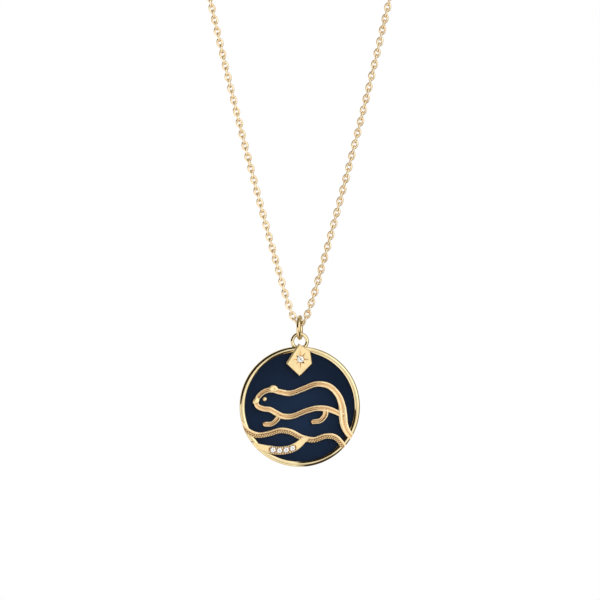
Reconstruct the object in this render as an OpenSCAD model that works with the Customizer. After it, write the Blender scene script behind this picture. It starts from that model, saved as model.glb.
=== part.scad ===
// Pendant necklace: a round enamelled disc with wire figures, on a fine cable chain.
// Millimetres. The origin is the top of the loop, where the necklace hangs; the disc faces -Y.

/* [Disc] */
// Outer diameter of the round rim
disc_d = 20; // [18:0.5:24]
// Width of the rim, seen from the front
rim_w = 0.9; // [0.8:0.05:1]
// Depth of the rim, from its back to its crown
rim_depth = 1.5; // [1.5:0.1:2]
// Thickness of the plate that closes the back
back_plate = 0.5; // [0.4:0.05:0.55]
// Thickness of the enamel
enamel_depth = 0.47; // [0.3:0.01:0.5]

/* [Wire figures] */
// How far the wires stand above the rim's crown
wire_proud = 0.15; // [0.05:0.05:0.3]
// Width of the satin groove along a wire
groove_w = 0.36; // [0.2:0.02:0.44]
// Depth of that groove
groove_depth = 0.08; // [0.04:0.01:0.12]

/* [Plaque and stones] */
// How far the five-sided plaque stands above the rim's crown
plaque_proud = 0.35; // [0.3:0.05:0.5]
// Girdle diameter of the star-set stone
star_stone_d = 1.24; // [1:0.02:1.3]
// Girdle diameter of each stone in the row
row_stone_d = 0.94; // [0.8:0.02:0.98]
// Distance from stone to stone along the row
row_pitch = 1.1; // [1.08:0.01:1.2]

/* [Rings] */
// Outer diameter of the eye on top of the disc
eye_d = 3.05; // [2.9:0.05:3.3]
// Wire diameter of that eye
eye_wire = 0.6; // [0.5:0.05:0.65]
// Outer diameter of the jump ring that carries the disc
bail_d = 4.2; // [4:0.1:4.6]
// Wire diameter of the jump ring
bail_wire = 0.7; // [0.5:0.05:0.75]
// Turn of the jump ring out of the straight view from the side
bail_turn = -6.5; // [-12:0.5:12]

/* [Chain] */
// Outer width of a link, which is the width of the whole chain
link_w = 1.15; // [1:0.05:1.2]
// Radius of the chain's turn inside the jump ring
turn_r = 1.05; // [1.05:0.05:1.5]
// Slope of a side where it leaves the jump ring, in degrees from the vertical
bend_low = 21.5; // [18:0.5:24]
// Radius of the short bend above the jump ring
bend_r = 50; // [30:5:80]
// Slope of a side above that bend
side_low = 16; // [14:0.1:18]
// Radius of the long, slightly bowed sides
side_r = 850; // [700:10:1000]
// Slope of a side where the round top begins
side_high = 4.87; // [3:0.01:7]

/* [Clasp] */
// Outer diameter of the clasp's round body
clasp_d = 5.5; // [5:0.5:7]
// Wire diameter of the clasp's body
clasp_wire = 1; // [0.8:0.1:1.2]
// Outer diameter of the ring on the other end of the chain
end_ring_d = 2.8; // [2.6:0.1:3.4]
// Wire diameter of that ring and of the clasp's own small eye
end_wire = 0.4; // [0.3:0.05:0.45]

/* [Hidden] */

gap = 0.03;          // between two pieces that are fitted together
ring_gap = 0.04;     // between two rings that hang in each other
gold = [0.90, 0.72, 0.42];
navy = [0.11, 0.17, 0.27];
clear_stone = [0.93, 0.94, 0.96];
round_fn = 96;

// Heights inside the disc, from the middle of its depth towards the viewer
disc_r = disc_d / 2;
inner_r = disc_r - rim_w;
crown_z = rim_depth / 2;
back_z = -rim_depth / 2;
floor_z = back_z + back_plate;
enamel_z = floor_z + gap + enamel_depth;
wire_low = enamel_z + gap;
wire_top = crown_z + wire_proud;
plaque_top = crown_z + plaque_proud;
scale_to_disc = disc_r / 10;   // the tables below are drawn for a disc of radius 10

// Rings above the disc
eye_ring_r = (eye_d - eye_wire) / 2;
eye_up = disc_r + 0.83;        // centre of the eye above the disc's centre
eye_z = -0.13;                 // the eye stands over the disc's centre of mass
bail_r = (bail_d - bail_wire) / 2;
eye_top = eye_up + eye_ring_r;
bail_low = eye_top - (eye_wire + bail_wire) / 2 - ring_gap;
bail_up = bail_low + bail_r;
chain_up = bail_low + 2 * bail_r - (bail_wire + link_w) / 2 - ring_gap;

// The loop: a small turn in the jump ring, a short bend, a long side, and a round top
turn_x = turn_r * cos(bend_low);
turn_z = turn_r * (1 - sin(bend_low));
bend_x = turn_x + bend_r * (cos(side_low) - cos(bend_low));
bend_z = turn_z + bend_r * (sin(bend_low) - sin(side_low));
side_x = bend_x + side_r * (cos(side_high) - cos(side_low));
side_z = bend_z + side_r * (sin(side_low) - sin(side_high));
top_r = side_x / cos(side_high);
top_centre_z = side_z + top_r * sin(side_high);
loop_top_z = top_centre_z + top_r;
clasp_low = clasp_wire / 2 + 0.05;                // the clasp's underside is just above the origin
apex_z = clasp_low - loop_top_z;                  // the chain's lowest point
disc_z = apex_z - chain_up;                       // the disc's centre

// Clasp: body, its small eye, and the ring at the chain's other end, in a row along X
clasp_body_r = (clasp_d - clasp_wire) / 2;
clasp_eye_r = 0.7;
end_ring_r = (end_ring_d - end_wire) / 2;
clasp_eye_x = clasp_body_r + clasp_wire / 2 + 0.4;
end_ring_x = -clasp_body_r + (clasp_wire + end_wire) / 2 + gap - end_ring_r;
clasp_shift = -(clasp_eye_x + clasp_eye_r + end_ring_x - end_ring_r) / 2;
fastening_half = clasp_eye_x + clasp_eye_r + clasp_shift;   // from the middle to the last wire

// Wires of the figure: x, up, width
back_line = [
    [-7.3, 0.75, 0.8], [-6.85, 1.7, 0.85], [-5.9, 2.5, 0.9], [-4.6, 2.8, 0.9], [-3.2, 2.45, 0.9],
    [-1.5, 2.25, 0.95], [0.5, 2.95, 0.95], [2.7, 3.75, 0.95], [4.8, 3.45, 0.95], [6.3, 2.05, 1.0],
    [7.0, 0.3, 1.15], [7.2, -1.5, 1.35], [7.4, -3.0, 1.25], [8.0, -4.3, 1.1], [9.1, -5.5, 0.9]];
belly_line = [
    [-7.3, 0.85, 0.8], [-6.95, 0.05, 0.8], [-6.0, -0.35, 0.85], [-4.9, -0.5, 0.9],
    [-3.9, -1.05, 0.9], [-2.7, -1.6, 0.95], [-1.1, -1.55, 0.95], [0.9, -0.75, 0.95],
    [2.9, -0.25, 0.95], [4.9, -0.45, 0.95], [7.0, -1.35, 0.8]];
fore_paw = [[-3.35, -1.35, 0.85], [-3.85, -2.2, 0.9], [-4.7, -2.85, 0.85], [-5.7, -2.9, 0.8]];
hind_paw = [[4.3, -0.35, 0.9], [4.2, -1.4, 0.95], [3.4, -2.3, 0.9], [2.3, -2.5, 0.8]];
upper_wave = [
    [-10.0, -2.6, 0.95], [-8.8, -3.9, 0.95], [-7.1, -4.7, 0.95], [-5.2, -4.5, 0.95],
    [-3.3, -3.95, 0.95], [-1.5, -4.2, 0.95], [0.3, -5.1, 0.95], [2.3, -5.5, 0.95],
    [4.3, -4.9, 0.95], [6.1, -5.2, 0.95], [7.9, -7.4, 0.95]];
stone_wave = [
    [-8.6, -6.2, 0.95], [-6.4, -6.7, 0.95], [-4.9, -7.1, 1.25], [-3.4, -7.3, 1.35],
    [-1.8, -7.1, 1.35], [-0.5, -6.5, 1.25], [0.9, -5.3, 0.95]];
// Where the first stone sits along the lower wave
row_start = 4.25;
row_count = 4;

// Rounded solid drops of the figure: x, up, half width, half height, tilt
nose = [-7.25, 0.95, 0.62, 0.5, 55];
ear = [-4.35, 3.0, 0.75, 0.56, -12];
pupil = [-5.8, 1.25, 0.3, 0.3, 0];

// Five-sided plaque: x, up
plaque = [[-0.17, 10.5], [1.75, 9.2], [2.05, 7.12], [0, 5.08], [-2.27, 7.24]];
star_at = [0.11, 7.86];
// Rays cut around the stone: turn in degrees, reach from the stone's centre
rays = [[90, 1.5], [270, 1.65], [0, 1.45], [180, 1.43], [45, 1.3], [135, 1.05], [225, 1.05], [315, 1.1]];
ray_half_w = 0.13;
ray_depth = 0.1;
// Grains of metal that hold the stones: radius, and distance from the stone or from the row's middle line
star_grain_r = 0.1;
star_grain_out = 0.1;
row_grain_r = 0.12;
row_grain_out = 0.42;

// Splines through the rows of a table
function blend(a, b, c, d, t) =
    0.5 * (2 * b + (c - a) * t + (2 * a - 5 * b + 4 * c - d) * t * t + (3 * b - a - 3 * c + d) * t * t * t);
function with_ends(rows) =
    let (m = len(rows) - 1)
    concat([2 * rows[0] - rows[1]], rows, [2 * rows[m] - rows[m - 1]]);
function spline(rows, steps = 5) =
    let (r = with_ends(rows), m = len(rows) - 1)
    concat([for (i = [0 : m - 1], k = [0 : steps - 1]) blend(r[i], r[i + 1], r[i + 2], r[i + 3], k / steps)],
           [rows[m]]);
function flat(p) = [p.x, p.y];
function normal_at(pts, i) =
    let (a = pts[max(i - 1, 0)], b = pts[min(i + 1, len(pts) - 1)], d = flat(b) - flat(a))
    [-d.y, d.x] / norm(d);
function edge(pts, side, w) =
    [for (i = [0 : len(pts) - 1]) flat(pts[i]) + side * normal_at(pts, i) * (w > 0 ? w : pts[i].z) / 2];
function reversed(v) = [for (i = [len(v) - 1 : -1 : 0]) v[i]];
// The point at a distance along a spline
function walk(pts, s, i = 0) =
    let (step = flat(pts[i + 1]) - flat(pts[i]), d = norm(step))
    s <= d || i == len(pts) - 2 ? flat(pts[i]) + step * s / d : walk(pts, s - d, i + 1);

// The round far end of a wire, from its left edge to its right one
function tip_arc(pts, w) =
    let (m = len(pts) - 1, n = normal_at(pts, m), ahead = [n.y, -n.x], r = (w > 0 ? w : pts[m].z) / 2)
    [for (a = [22.5 : 22.5 : 157.5]) flat(pts[m]) + r * (cos(a) * n + sin(a) * ahead)];

// Outline of a wire from a table; w replaces the table's widths
module strip(rows, w = 0) {
    pts = spline(rows);
    scale(scale_to_disc)
        polygon(concat(edge(pts, 1, w), tip_arc(pts, w), reversed(edge(pts, -1, w))));
}

// Rows of a table from one row to the end
function from_row(rows, first) = [for (i = [first : len(rows) - 1]) rows[i]];

module drop(shape, low, high) {
    translate([shape[0], shape[1], 0] * scale_to_disc)
        rotate(shape[4])
            translate([0, 0, low])
                linear_extrude(high - low)
                    polygon([for (a = [0 : 15 : 345]) [shape[2] * cos(a), shape[3] * sin(a)]]);
}

module torus(ring_r, wire_d) {
    rotate_extrude($fn = round_fn)
        translate([ring_r, 0])
            circle(d = wire_d, $fn = 48);
}

// The disc lies in X and Z of the necklace; its own z points at the viewer, and its eye is at Y = 0
module on_disc() {
    translate([0, eye_z, disc_z])
        rotate([90, 0, 0])
            children();
}

// Section of the rim: a half-round crown, a thin low bead next to the enamel, and the back plate
module rim_and_back() {
    crown_r = rim_w * 0.44;
    crown_x = disc_r - crown_r;
    bead_r = (crown_x - crown_r - inner_r) / 2;
    bead_x = inner_r + bead_r;
    bead_top = crown_z - 0.35;
    chamfer = 0.12;
    crown = [for (a = [0 : 20 : 180]) [crown_x + crown_r * cos(a), crown_z - crown_r * (1 - sin(a))]];
    bead = [for (a = [30 : 30 : 180]) [bead_x + bead_r * cos(a), bead_top - bead_r * (1 - sin(a))]];
    rotate_extrude($fn = round_fn)
        polygon(concat([[0, back_z], [disc_r - chamfer, back_z], [disc_r, back_z + chamfer]],
                       crown, bead, [[inner_r, floor_z], [0, floor_z]]));
}

module plain_wires() {
    strip(back_line);
    strip(belly_line);
    strip(fore_paw);
    strip(hind_paw);
}

module groove(rows) {
    translate([0, 0, wire_top - groove_depth])
        linear_extrude(1)
            strip(rows, groove_w);
}

module wires() {
    difference() {
        translate([0, 0, wire_low])
            linear_extrude(wire_top - wire_low)
                union() {
                    plain_wires();
                    strip(upper_wave);
                    strip(stone_wave);
                }
        groove(from_row(back_line, 1));
        groove(from_row(belly_line, 1));
        groove(fore_paw);
        groove(hind_paw);
    }
}

module drops() {
    drop(nose, wire_low, wire_top + 0.05);
    drop(ear, wire_low, wire_top + 0.05);
    drop(pupil, floor_z - 0.1, wire_top - 0.2);
}

module plaque_block() {
    translate([0, 0, wire_low])
        linear_extrude(plaque_top - wire_low)
            polygon(plaque * scale_to_disc);
}

module star_rays() {
    for (ray = rays)
        translate([star_at.x, star_at.y, 0] * scale_to_disc)
            rotate(ray[0])
                translate([0, 0, plaque_top - ray_depth])
                    linear_extrude(1)
                        polygon([[0, ray_half_w], [ray[1], 0], [0, -ray_half_w]]);
}

function row_place(i) = scale_to_disc * walk(spline(stone_wave), row_start + i * row_pitch);

// Grains stand between the rays of the star, and in pairs between the stones of the row
module grain(place, r, top) {
    translate([place.x, place.y, top])
        sphere(r = r, $fn = 24);
}

module grains() {
    for (a = [22.5 : 90 : 292.5])
        grain(star_at * scale_to_disc + (star_stone_d / 2 + star_grain_out) * [cos(a), sin(a)],
              star_grain_r, plaque_top);
    for (i = [-0.5 : 1 : row_count - 0.5], side = [-1, 1])
        let (along = row_place(i + 0.05) - row_place(i - 0.05), out = [-along.y, along.x] / norm(along))
            grain(row_place(i) + side * row_grain_out * out, row_grain_r, wire_top);
}

module seat(place, d, top, depth) {
    translate([place.x, place.y, top - depth])
        cylinder(d = d, h = depth + 1, $fn = 48);
}

// Height of a cut stone's parts, as shares of its diameter
crown_share = 0.15;
girdle_share = 0.03;
pavilion_share = 0.42;
table_share = 0.57;
stone_lift = 0.08;      // the table stands this far above the metal
function stone_depth(d) = d * (crown_share + girdle_share + pavilion_share);
function seat_depth(d) = stone_depth(d) - stone_lift + gap;

module pendant_case() {
    color(gold)
        on_disc()
            difference() {
                union() {
                    rim_and_back();
                    translate([0, eye_up, eye_z])
                        torus(eye_ring_r, eye_wire);
                    intersection() {
                        union() {
                            wires();
                            drops();
                        }
                        translate([0, 0, floor_z - 0.1])
                            cylinder(r = disc_r - 0.02, h = 4, $fn = round_fn);
                    }
                    plaque_block();
                    grains();
                }
                star_rays();
                seat(star_at * scale_to_disc, star_stone_d + 2 * gap, plaque_top, seat_depth(star_stone_d));
                for (i = [0 : row_count - 1])
                    seat(row_place(i), row_stone_d + 2 * gap, wire_top, seat_depth(row_stone_d));
            }
}

module enamel_disc() {
    color(navy)
        on_disc()
            difference() {
                translate([0, 0, floor_z + gap])
                    cylinder(r = inner_r - gap, h = enamel_depth, $fn = round_fn);
                translate([pupil[0], pupil[1], 0] * scale_to_disc)
                    translate([0, 0, floor_z - 1])
                        cylinder(r = pupil[2] + gap, h = 3, $fn = 48);
            }
}

// A round cut stone: table, eight crown facets and their corners, girdle, eight pavilion facets
module cut_stone(d) {
    r = d / 2;
    girdle_top = d * pavilion_share + d * girdle_share;
    table = [for (i = [0 : 7]) [r * table_share * cos(45 * i), r * table_share * sin(45 * i), stone_depth(d)]];
    upper = [for (i = [0 : 15]) [r * cos(22.5 * i), r * sin(22.5 * i), girdle_top]];
    lower = [for (i = [0 : 15]) [r * cos(22.5 * i), r * sin(22.5 * i), d * pavilion_share]];
    faces = concat(
        [[7, 6, 5, 4, 3, 2, 1, 0]],
        [for (i = [0 : 7]) let (n = (i + 1) % 8) [i, n, 8 + 2 * i + 1]],
        [for (i = [0 : 7]) [i, 8 + 2 * i + 1, 8 + 2 * i]],
        [for (i = [0 : 7]) let (n = (i + 1) % 8) [n, 8 + (2 * i + 2) % 16, 8 + 2 * i + 1]],
        [for (i = [0 : 15]) let (n = (i + 1) % 16) [8 + i, 8 + n, 24 + n, 24 + i]],
        [for (i = [0 : 15]) let (n = (i + 1) % 16) [24 + i, 24 + n, 40]]);
    polyhedron(concat(table, upper, lower, [[0, 0, 0]]), faces);
}

module placed_stone(place, d, top) {
    color(clear_stone)
        on_disc()
            translate([place.x, place.y, top + stone_lift - stone_depth(d)])
                cut_stone(d);
}

module star_stone() {
    placed_stone(star_at * scale_to_disc, star_stone_d, plaque_top);
}

module row_stone(i) {
    placed_stone(row_place(i), row_stone_d, wire_top);
}

module bail_ring() {
    color(gold)
        translate([0, 0, disc_z + bail_up])
            rotate([0, 0, bail_turn])
                rotate([0, 90, 0])
                    torus(bail_r, bail_wire);
}

// Centre line of the right half of the chain at a share of each stretch: x, z
function on_turn(t) =
    let (a = t * (90 - bend_low))
    [turn_r * sin(a), turn_r * (1 - cos(a))];
function on_bend(t) =
    let (a = bend_low + t * (side_low - bend_low))
    [turn_x + bend_r * (cos(a) - cos(bend_low)), turn_z + bend_r * (sin(bend_low) - sin(a))];
function on_side(t) =
    let (a = side_low + t * (side_high - side_low))
    [bend_x + side_r * (cos(a) - cos(side_low)), bend_z + side_r * (sin(side_low) - sin(a))];
function on_top(t) =
    let (a = t * (90 + side_high) - side_high)
    [top_r * cos(a), top_centre_z + top_r * sin(a)];

// The round top stops at the clasp's small eye or at the end ring
end_share = 1 - (fastening_half + end_wire / 2 + 0.1) / top_r * 180 / PI / (90 + side_high);
half_line = concat([for (i = [1 : 4]) on_turn(i / 5)],
                   [for (i = [0 : 2]) on_bend(i / 3)],
                   [for (i = [0 : 16]) on_side(i / 17)],
                   [for (i = [0 : 17]) on_top(end_share * i / 17)]);
chain_line = concat([for (p = reversed(half_line)) [-p.x, p.y]], [[0, 0]], half_line);
tube_sides = 8;

function tangent(line, i) =
    let (d = line[min(i + 1, len(line) - 1)] - line[max(i - 1, 0)])
    d / norm(d);

// A ring of the tube: round the centre line, in its normal plane
function tube_ring(line, i) =
    let (t = tangent(line, i), n = [-t.y, t.x])
    [for (k = [0 : tube_sides - 1])
        let (a = (k + 0.5) * 360 / tube_sides, u = link_w / 2 * cos(a), v = link_w / 2 * sin(a))
        [line[i].x + n.x * u, v, line[i].y + n.y * u]];

module chain() {
    count = len(chain_line);
    last = (count - 1) * tube_sides;
    points = [for (i = [0 : count - 1]) each tube_ring(chain_line, i)];
    walls = [for (i = [0 : count - 2], k = [0 : tube_sides - 1])
        let (a = i * tube_sides + k, b = i * tube_sides + (k + 1) % tube_sides)
        each [[a, b, b + tube_sides], [a, b + tube_sides, a + tube_sides]]];
    ends = [[for (k = [tube_sides - 1 : -1 : 0]) k], [for (k = [0 : tube_sides - 1]) last + k]];
    color(gold)
        translate([0, 0, apex_z])
            polyhedron(points, concat(walls, ends));
}

// The fastening lies flat behind the neck: its body in X and Y
module on_clasp(x) {
    translate([clasp_shift + x, 0, clasp_low])
        children();
}

module clasp() {
    color(gold)
        union() {
            on_clasp(0)
                torus(clasp_body_r, clasp_wire);
            on_clasp(clasp_eye_x)
                torus(clasp_eye_r, end_wire);
        }
}

module end_ring() {
    color(gold)
        on_clasp(end_ring_x)
            rotate([90, 0, 0])
                torus(end_ring_r, end_wire);
}

pendant_case();
enamel_disc();
star_stone();
row_stone(0);  // row_stone_1
row_stone(1);  // row_stone_2
row_stone(2);  // row_stone_3
row_stone(3);  // row_stone_4
bail_ring();
chain();
clasp();
end_ring();
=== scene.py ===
# Otter pendant necklace: fine meshes, metals, enamel and stones around the fixed frame.
import bpy
from math import asin, cos, pi, radians, sin, sqrt
import numpy as np
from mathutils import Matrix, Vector
from mathutils.geometry import delaunay_2d_cdt


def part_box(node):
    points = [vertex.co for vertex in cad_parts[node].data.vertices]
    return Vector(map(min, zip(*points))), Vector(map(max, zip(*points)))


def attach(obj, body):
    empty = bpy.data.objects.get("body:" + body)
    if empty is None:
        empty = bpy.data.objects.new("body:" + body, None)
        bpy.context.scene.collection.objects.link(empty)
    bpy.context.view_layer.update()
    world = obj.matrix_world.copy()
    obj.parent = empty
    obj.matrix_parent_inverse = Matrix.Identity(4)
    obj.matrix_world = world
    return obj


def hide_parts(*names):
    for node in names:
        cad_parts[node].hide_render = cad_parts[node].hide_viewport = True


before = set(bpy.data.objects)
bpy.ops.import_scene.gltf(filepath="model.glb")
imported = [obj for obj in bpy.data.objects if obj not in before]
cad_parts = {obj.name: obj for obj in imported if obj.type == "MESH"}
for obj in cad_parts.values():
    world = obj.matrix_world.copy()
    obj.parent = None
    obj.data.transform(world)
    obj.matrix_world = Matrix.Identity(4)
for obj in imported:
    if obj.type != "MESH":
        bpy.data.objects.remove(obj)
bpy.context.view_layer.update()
mm = 0.001

# The disc lies in X and Z. A place on it is x, up from its centre, and height towards the viewer, in mm.
enamelLow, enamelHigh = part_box("enamel_disc")
enamelFront = 0.25
wireLow = 0.28
wireTop = 0.9
plaqueTop = 1.1
rimR = 10.0
wireEndR = 9.97  # the wires end just inside the rim's outer face
discY = enamelLow.y / mm + enamelFront
discZ = (enamelLow.z + enamelHigh.z) / 2 / mm
print("frame loaded:", len(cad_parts), "nodes, disc centre at z", round(discZ, 3), "mm")


def onDisc(x, up, height):
    return (x * mm, (discY - height) * mm, (discZ + up) * mm)


# Meshes

def makePiece(name, verts, faces, body, finishes, picks=None, sharp=None, flat=False):
    # picks gives each face's place in the list of finishes
    mesh = bpy.data.meshes.new(name)
    mesh.from_pydata([tuple(v) for v in verts], [], [tuple(f) for f in faces])
    for key in finishes:
        mesh.materials.append(finish[key])
    if picks is not None:
        mesh.polygons.foreach_set("material_index", picks)
    mesh.polygons.foreach_set("use_smooth", [not flat] * len(mesh.polygons))
    mesh.update()
    if sharp is not None:
        mesh.set_sharp_from_angle(angle=radians(sharp))
    piece = bpy.data.objects.new(name, mesh)
    bpy.context.scene.collection.objects.link(piece)
    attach(piece, body)
    return piece


def gridFaces(rows, cols, closeRows=False, closeCols=False, flip=False):
    faces = []
    for i in range(rows if closeRows else rows - 1):
        here, after = i * cols, ((i + 1) % rows) * cols
        for j in range(cols if closeCols else cols - 1):
            a, b = here + j, here + (j + 1) % cols
            d, c = after + j, after + (j + 1) % cols
            faces.append((a, d, c, b) if flip else (a, b, c, d))
    return faces


def fanFaces(first, count, hub, flip=False):
    # triangles from a closed ring of points to one point
    pairs = [(first + k, first + (k + 1) % count) for k in range(count)]
    return [(b, a, hub) if flip else (a, b, hub) for a, b in pairs]


def circleLoop(centre, r, count, turn=0.0):
    # points round a circle; turn is a share of one step
    angles = [2 * pi * (k + turn) / count for k in range(count)]
    return [(centre[0] + r * cos(a), centre[1] + r * sin(a)) for a in angles]


def ringShape(centre, across, upward, ringR, wireR, steps, sides):
    # a torus in the plane of across and upward; wireR may be a function of the angle round it
    axis = across.cross(upward)
    verts = []
    for i in range(steps):
        a = 2 * pi * i / steps
        out = across * cos(a) + upward * sin(a)
        section = circleLoop((ringR, 0.0), wireR(a) if callable(wireR) else wireR, sides)
        verts += [(centre + out * u + axis * v) * mm for u, v in section]
    return verts, gridFaces(steps, sides, True, True)


class Parts:
    # gathers vertices, faces and a material number for each face
    def __init__(self):
        self.verts = []
        self.faces = []
        self.picks = []

    def add(self, verts, faces, pick=0):
        start = len(self.verts)
        self.verts.extend(verts)
        self.faces.extend(tuple(start + k for k in f) for f in faces)
        self.picks.extend([pick] * len(faces) if isinstance(pick, int) else pick)


# Lines of the figure, through the rows of a table: x, up, width

def splineLine(rows, steps=12):
    p = [np.array(r, float) for r in rows]
    p = [2 * p[0] - p[1]] + p + [2 * p[-1] - p[-2]]
    line = []
    for i in range(1, len(p) - 2):
        a, b, c, d = p[i - 1:i + 3]
        for k in range(steps):
            t = k / steps
            line.append(0.5 * (2 * b + (c - a) * t + (2 * a - 5 * b + 4 * c - d) * t * t
                               + (3 * b - a - 3 * c + d) * t ** 3))
    line.append(p[-2])
    return np.array(line)


def withRoundTip(line, steps=8, least=0.02):
    along = line[-1, :2] - line[-2, :2]
    along /= np.linalg.norm(along)
    tip = [[*(line[-1, :2] + along * line[-1, 2] / 2 * sin(a)), line[-1, 2] * max(cos(a), least)]
           for a in np.linspace(0, pi / 2, steps + 1)[1:]]
    return np.vstack([line, tip])


def lineNormals(line):
    step = np.gradient(line[:, :2], axis=0)
    step /= np.linalg.norm(step, axis=1)[:, None]
    return np.stack([-step[:, 1], step[:, 0]], axis=1)


def distances(line):
    # from the line's first point to each of its points, along the line
    return np.concatenate([[0], np.cumsum(np.linalg.norm(np.diff(line[:, :2], axis=0), axis=1))])


def cutAtRim(points, limit):
    # keeps the stretch inside the circle, with new end points on it
    r = np.linalg.norm(points, axis=1)
    inside = np.where(r < limit)[0]
    first, last = inside[0], inside[-1]
    kept = list(points[first:last + 1])
    if first > 0:
        t = (limit - r[first]) / (r[first - 1] - r[first])
        kept.insert(0, points[first] + t * (points[first - 1] - points[first]))
    if last < len(points) - 1:
        t = (limit - r[last]) / (r[last + 1] - r[last])
        kept.append(points[last] + t * (points[last + 1] - points[last]))
    return np.array(kept)


def resample(points, count):
    d = distances(points)
    s = np.linspace(0, d[-1], count)
    return np.stack([np.interp(s, d, points[:, k]) for k in range(2)], axis=1)


def walkLine(line, s, ahead=0.05):
    # the point, the direction and the way to the left at a distance along a line
    d = distances(line)
    p, q = (np.array([np.interp(at, d, line[:, k]) for k in range(2)]) for at in (s, s + ahead))
    along = (q - p) / np.linalg.norm(q - p)
    return p, along, np.array([-along[1], along[0]])


figure = {
    "back": [
        [-7.3, 0.75, 0.8], [-6.85, 1.7, 0.85], [-5.9, 2.5, 0.9], [-4.6, 2.8, 0.9], [-3.2, 2.45, 0.9],
        [-1.5, 2.25, 0.95], [0.5, 2.95, 0.95], [2.7, 3.75, 0.95], [4.8, 3.45, 0.95], [6.3, 2.05, 1.0],
        [7.0, 0.3, 1.15], [7.2, -1.5, 1.35], [7.4, -3.0, 1.25], [8.0, -4.3, 1.1], [9.1, -5.5, 0.9]],
    "belly": [
        [-7.3, 0.85, 0.8], [-6.95, 0.05, 0.8], [-6.0, -0.35, 0.85], [-4.9, -0.5, 0.9],
        [-3.9, -1.05, 0.9], [-2.7, -1.6, 0.95], [-1.1, -1.55, 0.95], [0.9, -0.75, 0.95],
        [2.9, -0.25, 0.95], [4.9, -0.45, 0.95], [7.0, -1.35, 0.8]],
    "forePaw": [[-3.35, -1.35, 0.85], [-3.85, -2.2, 0.9], [-4.7, -2.85, 0.85], [-5.7, -2.9, 0.8]],
    "hindPaw": [[4.3, -0.35, 0.9], [4.2, -1.4, 0.95], [3.4, -2.3, 0.9], [2.3, -2.5, 0.8]],
    "upperWave": [
        [-10.0, -2.6, 0.95], [-8.8, -3.9, 0.95], [-7.1, -4.7, 0.95], [-5.2, -4.5, 0.95],
        [-3.3, -3.95, 0.95], [-1.5, -4.2, 0.95], [0.3, -5.1, 0.95], [2.3, -5.5, 0.95],
        [4.3, -4.9, 0.95], [6.1, -5.2, 0.95], [7.9, -7.4, 0.95]],
    "stoneWave": [
        [-8.6, -6.2, 0.95], [-6.4, -6.7, 0.95], [-4.9, -7.1, 1.25], [-3.4, -7.3, 1.35],
        [-1.8, -7.1, 1.35], [-0.5, -6.5, 1.25], [0.9, -5.3, 0.95]],
    "rowStart": 4.25, "rowPitch": 1.1, "rowCount": 4,
    # the pupil's foot stands in the enamel
    "nose": {"at": (-7.25, 0.95), "half": (0.62, 0.5), "tilt": 55, "low": wireLow, "top": 1.0, "dish": 0.0},
    "ear": {"at": (-4.35, 3.0), "half": (0.75, 0.56), "tilt": -12, "low": wireLow, "top": 1.02, "dish": 0.07},
    "pupil": {"at": (-5.8, 1.25), "half": (0.33, 0.33), "tilt": 0, "low": 0.15, "top": 0.72, "dish": 0.0},
}


# Materials

def nodeTree(owner):
    owner.use_nodes = True
    owner.node_tree.nodes.clear()
    return owner.node_tree


def addNode(tree, kind, inputs=None, **settings):
    node = tree.nodes.new(kind)
    for key, value in settings.items():
        setattr(node, key, value)
    for key, value in (inputs or {}).items():
        if isinstance(value, bpy.types.NodeSocket):
            tree.links.new(value, node.inputs[key])
        else:
            node.inputs[key].default_value = value
    return node


def calc(tree, operation, a, b, c=None):
    # one step of arithmetic on node sockets or plain numbers
    inputs = {0: a, 1: b} if c is None else {0: a, 1: b, 2: c}
    return addNode(tree, "ShaderNodeMath", inputs, operation=operation).outputs[0]


def newGroup(name, inputs, outputs):
    # a socket's kind follows from its value: a number, or a colour as four numbers
    group = bpy.data.node_groups.new(name, "ShaderNodeTree")
    for way, sockets in (("INPUT", inputs), ("OUTPUT", outputs)):
        for label, value in sockets.items():
            kind = "NodeSocketColor" if isinstance(value, tuple) else "NodeSocketFloat"
            socket = group.interface.new_socket(name=label, in_out=way, socket_type=kind)
            socket.default_value = value
    return group, group.nodes.new("NodeGroupInput"), group.nodes.new("NodeGroupOutput")


def makeMetalGrain():
    # fine pits and a slow waviness of a worked surface, as one height and two masks
    group, given, out = newGroup(
        "metalGrain", {"Grain Scale": 9000.0, "Grain Height": 0.5, "Wave Scale": 900.0, "Wave Height": 0.5},
        {"Height": 0.0, "Fleck": 0.0, "Cloud": 0.0})
    place = addNode(group, "ShaderNodeTexCoord")
    grain = addNode(group, "ShaderNodeTexNoise", {
        "Vector": place.outputs["Object"], "Scale": given.outputs["Grain Scale"], "Detail": 3.0,
        "Roughness": 0.65})
    wave = addNode(group, "ShaderNodeTexNoise", {
        "Vector": place.outputs["Object"], "Scale": given.outputs["Wave Scale"], "Detail": 1.5})
    fine = calc(group, "MULTIPLY", grain.outputs["Fac"], given.outputs["Grain Height"])
    slow = calc(group, "MULTIPLY", wave.outputs["Fac"], given.outputs["Wave Height"])
    group.links.new(calc(group, "ADD", fine, slow), out.inputs["Height"])
    group.links.new(grain.outputs["Fac"], out.inputs["Fleck"])
    group.links.new(wave.outputs["Fac"], out.inputs["Cloud"])
    return group


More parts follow.
